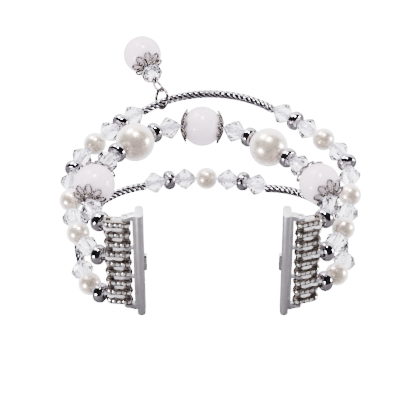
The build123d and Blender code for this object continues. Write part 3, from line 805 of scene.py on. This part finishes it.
def capShape():
    c = capWork
    verts = []
    edges = []
    for k in range(c["petals"]):
        loop = petalLoop(2 * math.pi * k / c["petals"])
        first = len(verts)
        verts += loop
        edges += [(first + j, first + (j + 1) % len(loop)) for j in range(len(loop))]
    host = makeObject("petalHost", makeMesh("petalHost", verts, [], edges))
    petals = runTree("petalWires", host, grainTree, "capSilver", {
        "Wire": c["wire"], "Grain": c["grain"], "Count": c["grains"],
    })
    base = math.sqrt(c["ball"] ** 2 - c["hub"] ** 2)
    top = c["ball"] + c["seat"] + c["hubThickness"]
    hub = latheMesh("capHub", [
        (bore, c["ball"] + c["seat"]), (c["hub"] * 0.75, (base + c["ball"]) / 2 + c["seat"]),
        (c["hub"], base + c["seat"]), (c["hub"], base + c["hubThickness"] * 0.8),
        (c["hub"] * 0.8, top - c["hubRim"]), (bore + c["hubLip"], top),
        (bore, top - c["hubLipDepth"]),
    ], 24)
    mesh = joinMeshes("capShape", (petals, hub))
    mesh.shade_smooth()
    return mesh


cap = capShape()
for label in ("left", "back", "right"):
    name = "jade_" + label
    centre, axis = jointPlace(name + "_spin")
    beadPiece("milkyBall_" + label, balls["milkyBall"], [seat(centre, axis)], "milkyStone", name,
              [name])
    beadPiece("flowerCaps_" + label, cap, [seat(centre, axis), seat(centre, -axis)], "capSilver",
              name, ["caps_" + label])
print("capped balls ready")


# Twisted tubes

tubeForm = {
    "radius": 1.13 * mm, "grooveShare": 0.3, "lobes": 6.0, "turns": 4.4, "around": 84, "along": 150,
}


def tubeArc(node):
    # the circle that a tube follows, fitted to its own points, and the angles where it ends
    points = np.concatenate(islandsOf(node))
    centroid, vectors = mainAxes(points)[:2]
    across, bulge = vectors[:, 2], vectors[:, 1]
    flat = np.stack([(points - centroid) @ across, (points - centroid) @ bulge], 1)
    system = np.concatenate([2 * flat, np.ones((len(flat), 1))], 1)
    solved = np.linalg.lstsq(system, (flat ** 2).sum(1), rcond=None)[0]
    middle = solved[:2]
    away = -middle / np.linalg.norm(middle)
    square = np.array([-away[1], away[0]])
    angles = np.arctan2((flat - middle) @ square, (flat - middle) @ away)
    inSpace = [v[0] * across + v[1] * bulge for v in (middle, away, square)]
    return {
        "centre": centroid + inSpace[0], "away": inSpace[1], "square": inSpace[2],
        "radius": math.sqrt(solved[2] + middle @ middle), "low": angles.min(),
        "high": angles.max(),
    }


def arcPoints(arc, count):
    # evenly spaced points from one end of an arc to the other
    points = []
    for k in range(count + 1):
        angle = arc["low"] + (arc["high"] - arc["low"]) * (k / count)
        direction = math.cos(angle) * arc["away"] + math.sin(angle) * arc["square"]
        points.append(Vector(arc["centre"] + arc["radius"] * direction))
    return points


tubeArcs = {}
for node in ("tube_middle", "tube_bottom_left", "tube_bottom_right"):
    tubeArcs[node] = tubeArc(node)
    count = tubeForm["along"]
    edges = [(k, k + 1) for k in range(count)]
    host = makeObject("tubeHost", makeMesh("tubeHost", arcPoints(tubeArcs[node], count), [], edges))
    mesh = runTree(node, host, tubeTree, "tubeSilver", {
        "Radius": tubeForm["radius"], "Groove Share": tubeForm["grooveShare"],
        "Lobes": tubeForm["lobes"], "Twist": 2 * math.pi * tubeForm["turns"],
        "Around": tubeForm["around"],
    })
    finishPiece("twisted_" + node, hideFlatEdges(mesh, "tube"), "strands", [node])
print("tubes ready")


# Link stacks

linkForm = {
    "length": 6.3 * mm, "depth": 2.4 * mm, "height": 1.9 * mm, "spacing": 4.1 * mm,
    "pitch": 3.1 * mm, "count": 9, "slotLength": 2.4 * mm, "slotWidth": 1.25 * mm,
    "slotRim": 0.05 * mm, "hole": 0.55 * mm, "bevel": 0.16 * mm,
}
stoneForm = {
    "radius": 0.55 * mm, "table": 0.24 * mm, "height": 0.25 * mm, "girdle": 0.1 * mm, "facets": 8,
    "cup": 0.6 * mm, "cupHeight": 0.12 * mm, "cupDepth": 0.04 * mm, "claw": 0.09 * mm,
    "claws": 4, "clawLift": 0.02 * mm, "spin": 0.6,
}
spacerForm = {
    "radius": 0.95 * mm, "hole": 0.56 * mm, "edge": 0.08 * mm, "groove": 0.12 * mm,
    "clearance": 0.02 * mm,
}
rodForm = {"radius": 0.5 * mm, "edge": 0.15 * mm, "sides": 24}
bevels = {
    "adapter": {"width": 0.14 * mm, "sharp": 55}, "latch": {"width": 0.1 * mm, "sharp": 40},
}


def linkShape():
    f = linkForm
    loops = [stadium(f["length"], f["depth"], 14), stadium(f["slotLength"], f["slotWidth"], 6)]
    loops += [circle(f["hole"], 16, x) for x in (f["spacing"] / 2, -f["spacing"] / 2)]
    mesh = hideFlatEdges(plateMesh("linkShape", loops, f["height"], f["bevel"]), "link")
    # the groove attribute marks the slot's walls, where the link material paints light
    paintedLightWalls = mesh.attributes.new("groove", "FLOAT", "FACE")  # one on the slot's walls
    for face, wall in zip(mesh.polygons, paintedLightWalls.data):
        x, y = abs(face.center.x), abs(face.center.y)
        inside = x < f["slotLength"] / 2 + f["slotRim"] and y < f["slotWidth"] / 2 + f["slotRim"]
        wall.value = 1.0 if inside and abs(face.normal.z) < 0.8 else 0.0
    return mesh


def stoneShape():
    # a low brilliant: girdle, sloping crown facets and a table
    s = stoneForm
    sides = s["facets"]
    verts = ringVerts((
        (s["radius"], 0.0, 0.0), (s["radius"], s["girdle"], 0.0),
        (s["table"] * 1.45, s["height"] * 0.8, 0.5), (s["table"], s["height"], 0.0),
    ), sides)
    faces = [tuple(reversed(range(sides))), tuple(range(3 * sides, 4 * sides))]
    for k in range(sides):
        a, b, c, d = [level * sides + k for level in range(4)]
        e, f, g, h = [level * sides + (k + 1) % sides for level in range(4)]
        faces += [(a, e, f, b), (b, f, c), (f, g, c), (c, g, h), (c, h, d)]
    mesh = makeMesh("stoneShape", verts, faces)
    mesh.shade_flat()
    return mesh


def cupShape():
    # the setting under a stone, with its claws
    f = stoneForm
    mesh = latheMesh("cupShape", [
        (f["radius"] * 0.6, -f["cupDepth"]), (f["cup"] * 0.8, -f["cupDepth"]),
        (f["cup"], f["cupHeight"] * 0.8), (f["cup"] * 0.93, f["cupHeight"]),
        (f["radius"], f["cupHeight"] * 0.7),
    ], 12)
    work = bmesh.new()
    work.from_mesh(mesh)
    reach = f["radius"] * 0.98
    for k in range(f["claws"]):
        angle = math.pi / 4 + 2 * math.pi / f["claws"] * k
        place = Matrix.Translation((
            reach * math.cos(angle), reach * math.sin(angle), f["cupHeight"] + f["clawLift"],
        ))
        bmesh.ops.create_icosphere(work, subdivisions=1, radius=f["claw"], matrix=place)
    work.to_mesh(mesh)
    work.free()
    mesh.shade_smooth()
    return mesh


def stonePlaces(node):
    # each stone's seat and outward direction: its tip is the point nearest the middle of the rest
    places = []
    for points in islandsOf(node):
        others = [np.delete(points, k, 0).mean(0) for k in range(len(points))]
        tip = int(np.argmin([np.linalg.norm(point - rest) for point, rest in zip(points, others)]))
        foot = Vector(others[tip])
        places.append((foot, (Vector(points[tip]) - foot).normalized(), up))
    return places


def spacerShape(half):
    f = spacerForm
    waist = f["radius"] - f["edge"]
    return latheMesh("spacerShape", [
        (f["hole"], -half), (waist, -half), (f["radius"], -half + f["edge"]),
        (f["radius"], -f["groove"]), (waist, 0.0), (f["radius"], f["groove"]),
        (f["radius"], half - f["edge"]), (waist, half), (f["hole"], half),
    ], 20)


def rodMesh(name, low, high, place):
    radius, edge, sides = rodForm.values()
    mesh = latheMesh(name, [
        (0.0, low), (radius - edge, low), (radius, low + edge), (radius, high - edge),
        (radius - edge, high), (0.0, high),
    ], sides)
    mesh.transform(Matrix.Translation((place.x, place.y, 0)))
    return mesh


def bevelledCopy(name, node, width, sharp):
    # a CAD node's own shape, with edges that are sharper than this angle rounded
    work = mergedMesh(node)
    bmesh.ops.dissolve_limit(work, angle_limit=math.radians(1.0), verts=work.verts,
                             edges=work.edges)
    edges = [
        edge for edge in work.edges
        if len(edge.link_faces) == 2 and math.degrees(edge.calc_face_angle(0.0)) > sharp
    ]
    bmesh.ops.bevel(work, geom=edges, offset=width, segments=2, profile=0.6, affect="EDGES",
                    clamp_overlap=True)
    bmesh.ops.remove_doubles(work, verts=work.verts, dist=weldGaps["point"])
    mesh = bpy.data.meshes.new(name)
    work.to_mesh(mesh)
    work.free()
    return hideFlatEdges(mesh, "metal")


link = linkShape()
stone = stoneShape()
cup = cupShape()
spacer = spacerShape((linkForm["pitch"] - linkForm["height"]) / 2 - spacerForm["clearance"])
for label in ("left", "right"):
    body = "stack_" + label
    adapter = "adapter_" + label
    rod = jointPlace("stack_hinge_" + label)[0]
    bar = jointPlace("adapter_hinge_" + label)[0]
    along = (bar - rod).normalized()
    low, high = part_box("links_" + label)
    middle = (rod + bar) / 2
    places = []
    for k in range(linkForm["count"]):
        step = k - (linkForm["count"] - 1) / 2
        height = (low.z + high.z) / 2 + step * linkForm["pitch"]
        places.append((Vector((middle.x, middle.y, height)), up, along))
    beadPiece("jewelLinks_" + label, link, places, "linkSilver", body,
              ["links_" + label])
    places = stonePlaces("rhinestones_" + label)
    beadPiece("cutStones_" + label, stone, places, "foilStone", body,
              ["rhinestones_" + label], spin=stoneForm["spin"], seed=5)
    beadPiece("stoneCups_" + label, cup, places, "antiqueSilver", body)
    places = [(Vector(points.mean(0)), up, along) for points in islandsOf("spacers_" + label)]
    beadPiece("darkSpacers_" + label, spacer, places, "spacerMetal", body,
              ["spacers_" + label])
    for node, place, owner in (("outer_rod_", rod, "strands"), ("inner_bar_", bar, adapter)):
        node += label
        low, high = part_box(node)
        mesh = rodMesh("steel_" + node, low.z, high.z, place)
        finishPiece("steel_" + node, paint(mesh, "rodSteel"), owner, [node])
    name = "polishedAdapter_" + label
    mesh = bevelledCopy(name, adapter, **bevels["adapter"])
    finishPiece(name, paint(mesh, "adapterMetal"), adapter, [adapter])
    node = "latch_button_" + label
    mesh = bevelledCopy("smoothed_" + node, node, **bevels["latch"])
    finishPiece("smoothed_" + node, paint(mesh, "rodSteel"), node, [node])
    paint(frame["nodes"]["latch_spring_" + label].data, "rodSteel")
print("link stacks and adapters ready")


# Elastic cords

cordForm = {
    "radius": 0.4 * mm, "loop": 0.95 * mm, "loopStart": 80, "loopTurn": 250, "loopPoints": 9,
    "arcSteps": 8,
}


def strandPoints(strand):
    # the ends of every bead's hole, from the left stack to the right one
    spots = []
    for node, form in (("crystals_", crystalCut), ("rondelles_", rondelleTurn)):
        for points in islandsOf(node + strand):
            spots.append((*spinPlace(points), form["halfLength"]))
    kind, starts = "smallPearl", "pearl_" + strand
    if strand == "top":
        kind, starts = "bigPearl", ("jade_", "big_pearl_")
    for name in frame["nodes"]:
        if name.startswith(starts):
            spots.append((*jointPlace(name + "_spin"), ballForms[kind]["radius"]))
    runs = [[centre - axis * half, centre + axis * half] for centre, axis, half in spots]
    for node, arc in tubeArcs.items():
        if node.startswith("tube_" + strand):
            runs.append(arcPoints(arc, cordForm["arcSteps"]))
    rod = jointPlace("stack_hinge_left")[0]
    nearest = min(runs, key=lambda run: min((point.xy - rod.xy).length for point in run))
    here = Vector((rod.x, rod.y, (nearest[0].z + nearest[-1].z) / 2))
    path = []
    while runs:
        best = min(runs, key=lambda run: min((run[0] - here).length, (run[-1] - here).length))
        runs.remove(best)
        if (best[-1] - here).length < (best[0] - here).length:
            best = best[::-1]
        path += best
        here = path[-1]
    return path


def loopPoints(label, first, sign):
    # a turn round the stack's rod, ending where the cord leaves for its first bead
    c = cordForm
    rod = jointPlace("stack_hinge_" + label)[0]
    away = (first.xy - rod.xy).normalized()
    start = math.atan2(away.y, away.x) + sign * math.radians(c["loopStart"])
    angles = start + sign * np.linspace(math.radians(c["loopTurn"]), 0, c["loopPoints"])
    return [
        Vector((rod.x + c["loop"] * math.cos(angle), rod.y + c["loop"] * math.sin(angle), first.z))
        for angle in angles
    ]


for strand in ("top", "middle", "bottom"):
    path = strandPoints(strand)
    points = loopPoints("left", path[0], -1) + path + loopPoints("right", path[-1], 1)[::-1]
    mesh = wireMesh("thread_" + strand, points, cordForm["radius"], steps=4, sides=3)
    finishPiece("thread_" + strand, paint(mesh, "clearElastic"), "strands",
                ["elastic_" + strand])
print("elastic cords ready")


# Charm

charmForm = {
    "ringRadius": 2.6 * mm, "ringWire": 0.43 * mm, "ringSeam": 3.0, "ringSteps": 72,
    "ringSides": 16, "eyeLength": 4.6 * mm, "eyeHalf": 1.02 * mm, "pinWire": 0.34 * mm,
    "head": 0.75 * mm, "headThickness": 0.5 * mm, "headEdge": 0.12 * mm,
}
eyeShares = (  # the eye's outline: shares of its length down the pin and of its half width out
    (1.02, -0.3), (0.98, -0.55), (0.8, -0.75), (0.55, -1.1), (0.3, -1.2), (0.06, -0.95),
    (-0.02, 0.0), (0.06, 0.95), (0.3, 1.2), (0.55, 1.1), (0.8, 0.7), (0.97, 0.2), (1.05, 0.0),
    (1.25, 0.0),
)
wrapForm = {  # the wire wound under the eye; start is a share of the eye's length
    "points": 29, "perTurn": 12, "start": 0.95, "length": 0.62 * mm, "reach": 1.9, "wire": 0.85,
}


def ringMesh():
    # a round wire ring, cut once
    c = charmForm
    centre, vectors = mainAxes(np.concatenate(islandsOf("jump_ring")))[:2]
    centre = Vector(centre)
    normal = Vector(vectors[:, 0])
    eye = (jointPlace("charm_swing")[0] - centre).normalized()
    second = normal.cross(eye)
    seam = math.radians(c["ringSeam"])
    steps, sides = c["ringSteps"], c["ringSides"]
    verts = []
    for k in range(steps + 1):
        angle = math.pi / 2 + seam / 2 + (2 * math.pi - seam) * k / steps
        radial = eye * math.cos(angle) + second * math.sin(angle)
        for j in range(sides):
            turn = 2 * math.pi * j / sides
            shift = radial * math.cos(turn) + normal * math.sin(turn)
            verts.append(centre + radial * c["ringRadius"] + shift * c["ringWire"])
    faces = []
    for here in range(0, steps * sides, sides):
        there = here + sides
        for j in range(sides):
            n = (j + 1) % sides
            faces.append((here + j, here + n, there + n, there + j))
    faces += [tuple(range(sides)), tuple(range(steps * sides, (steps + 1) * sides))]
    return hideFlatEdges(cleanMesh(makeMesh("wireRing", verts, faces)), "wire")


def charmPlace():
    # the pin's two ends, its direction and the direction across its eye
    ball, axis = jointPlace("charm_ball_spin")
    pin = np.concatenate(islandsOf("charm_pin"))
    reach = (pin - np.array(ball)) @ np.array(axis)
    tangent = jointPlace("charm_swing")[1]
    across = axis.cross((tangent - axis * tangent.dot(axis)).normalized())
    return ball + axis * reach.min(), ball + axis * reach.max(), axis, across


def pinMesh():
    c = charmForm
    w = wrapForm
    start, end, axis, across = charmPlace()
    wire = c["pinWire"]
    length = c["eyeLength"]
    top = start + axis * wire
    points = [
        top + axis * (length * down) + across * (c["eyeHalf"] * out) for down, out in eyeShares
    ]
    points += [top + (end - top) * 0.5, end - axis * (c["headThickness"] * 0.5)]
    pin = wireMesh("eyePin", points, wire, steps=10, sides=4)
    square = axis.cross(across)
    turns = []
    for k in range(w["points"]):
        angle = 2 * math.pi * k / w["perTurn"]
        down = length * w["start"] + w["length"] * k / (w["points"] - 1)
        out = across * math.cos(angle) + square * math.sin(angle)
        turns.append(top + axis * down + out * wire * w["reach"])
    wrap = wireMesh("eyeWrap", turns, wire * w["wire"], steps=4, sides=3)
    thickness = c["headThickness"]
    head = latheMesh("pinHead", [
        (0.0, 0.0), (c["head"] * 0.8, 0.0), (c["head"], c["headEdge"]),
        (c["head"] * 0.85, thickness * 0.75), (c["head"] * 0.4, thickness), (0.0, thickness),
    ], 24)
    spin = axis.to_track_quat("Z", "Y").to_matrix().to_4x4()
    head.transform(Matrix.Translation(end - axis * thickness) @ spin)
    return hideFlatEdges(joinMeshes("charmPin", (pin, wrap, head)), "wire")


finishPiece("wireRing", paint(ringMesh(), "wireSilver"), "jump_ring", ["jump_ring"])
finishPiece("wirePin", paint(pinMesh(), "wireSilver"), "charm_pin", ["charm_pin"])
centre, axis = jointPlace("charm_ball_spin")
beadPiece("charmMilkyBall", balls["milkyBall"], [seat(centre, axis)], "milkyStone", "charm_ball",
          ["charm_ball"])
beadPiece("charmFlowerCap", cap, [seat(centre, -axis)], "capSilver", "charm_ball",
          ["charm_cap"])
beadPiece("charmCrystalBead", crystal, [seat(jointPlace("charm_crystal_spin")[0], axis)],
          "cutCrystal", "charm_crystal", ["charm_crystal"])
print("charm ready")


# Floor, camera and light

cameraSet = {
    "target": Vector((-0.67, -17.88, 16.0)) * mm, "elevation": 39.74, "distance": 433.0 * mm,
    "optics": {"lens": 148.07, "sensor_width": 36.0, "clip_start": 0.01, "clip_end": 20},
}
floorLook = {
    "half": 1.5, "colours": ((0.93, 0.93, 0.94), (0.91, 0.91, 0.925)), "drift": (6.0, 0.4),
    "mirrored": (0.06, 0.057, 0.06), "roughness": 0.75, "glow": 14.0,
}
lampAim = Vector((0, 0, 15.0)) * mm
lampSet = (  # name, place, size and power, in metres and watts
    ("keySoftbox", (-0.3, 0.25, 0.6), 0.3, 9.0),
    ("fillSoftbox", (0.5, -0.03, 0.1), 0.16, 5.0),
    ("overheadSoftbox", (0.02, -0.02, 0.6), 0.13, 8.0),
    ("leftSoftbox", (-0.4, -0.36, 0.05), 0.15, 6.5),
)
skyLook = {  # heights: height and brightness of the tent
    "soft": 3.0, "heights": ((0.0, 1.6), (0.25, 3.0), (0.6, 4.6), (1.0, 5.0)),
    "tint": (0.985, 0.97, 1.0), "dark": 0.012, "darkFrom": 0.62, "darkTo": 0.3,
    "clearDark": 1.5, "spotFrom": 0.84, "spotTo": 0.87,
}
elevation = math.radians(cameraSet["elevation"])
forward = Vector((0, math.cos(elevation), -math.sin(elevation)))


def aim(thing, place, direction):
    thing.location = place
    thing.rotation_euler = direction.to_track_quat("-Z", "Y").to_euler()


def addCamera():
    c = cameraSet
    data = setUp(bpy.data.cameras.new("photoCamera"), **c["optics"])
    camera = makeObject("photoCamera", data)
    aim(camera, c["target"] - forward * c["distance"], forward)
    scene.camera = camera


def addFloor():
    # pale and plain; the camera alone sees its glow, and shiny surfaces mirror it dark
    look = floorLook
    half = look["half"]
    corners = [(-half, -half, 0), (half, -half, 0), (half, half, 0), (-half, half, 0)]
    floor = makeObject("floor", makeMesh("floor", corners, [(0, 1, 2, 3)]))
    material, tree, shader = newMaterial("paleFloor")
    colour = addDrift(tree, *look["colours"], *look["drift"])["Color"]
    path = addNode(tree, "ShaderNodeLightPath").outputs
    mirror = addStep(tree, "ShaderNodeMath", {
        0: path["Is Glossy Ray"], 1: path["Is Transmission Ray"],
    }, operation="SUBTRACT", use_clamp=True)
    fillInputs(tree, shader, {
        "Base Color": mixColour(tree, mirror, colour, (*look["mirrored"], 1)),
        "Roughness": look["roughness"], "Emission Strength": look["glow"],
        "Emission Color": mixColour(tree, path["Is Camera Ray"], (0, 0, 0, 1), (1, 1, 1, 1)),
    })
    floor.data.materials.append(material)


def addLamps():
    for name, place, size, power in lampSet:
        data = setUp(bpy.data.lights.new(name, "AREA"), size=size, energy=power)
        aim(makeObject(name, data), place, lampAim - Vector(place))


def addWorld():
    # a bright tent behind the piece and a dark room in front, which polished metal mirrors;
    # clear beads see a lighter room with a dark spot round the camera
    look = skyLook
    top = max(value for height, value in look["heights"])

    def grey(level):
        return (*[level / top] * 3, 1)

    def tinted(level):
        return (*[level / top * channel for channel in look["tint"]], 1)

    scene.world = bpy.data.worlds.new("studio")
    scene.world.use_nodes = True
    tree = scene.world.node_tree
    where = addStep(tree, "ShaderNodeTexCoord", output="Generated")
    split = addNode(tree, "ShaderNodeSeparateXYZ", {0: where}).outputs
    tent = addNode(tree, "ShaderNodeValToRGB", {"Fac": split["Z"]})
    stops = tent.color_ramp.elements
    while len(stops) < len(look["heights"]):
        stops.new(0.5)
    for stop, (height, value) in zip(stops, look["heights"]):
        stop.position = height
        stop.color = tinted(value)
    front = addRange(tree, split["Y"], {
        "From Min": look["darkFrom"], "From Max": look["darkTo"],
    }, interpolation_type="SMOOTHSTEP")
    path = addNode(tree, "ShaderNodeLightPath").outputs
    facing = addStep(tree, "ShaderNodeVectorMath", {0: where, 1: -forward}, "Value",
                     operation="DOT_PRODUCT")
    spot = addRange(tree, facing, {
        "From Min": look["spotFrom"], "From Max": look["spotTo"],
    })
    dark = mixColour(tree, path["Is Transmission Ray"], grey(look["dark"]), grey(look["clearDark"]))
    dark = mixColour(tree, spot, dark, grey(look["dark"]))
    room = mixColour(tree, front, tent.outputs["Color"], dark)
    colour = mixColour(tree, path["Is Glossy Ray"], tinted(look["soft"]), room)
    fillInputs(tree, tree.nodes["Background"], {"Color": colour, "Strength": top})


addCamera()
addFloor()
addLamps()
addWorld()
print("camera, floor and light ready")
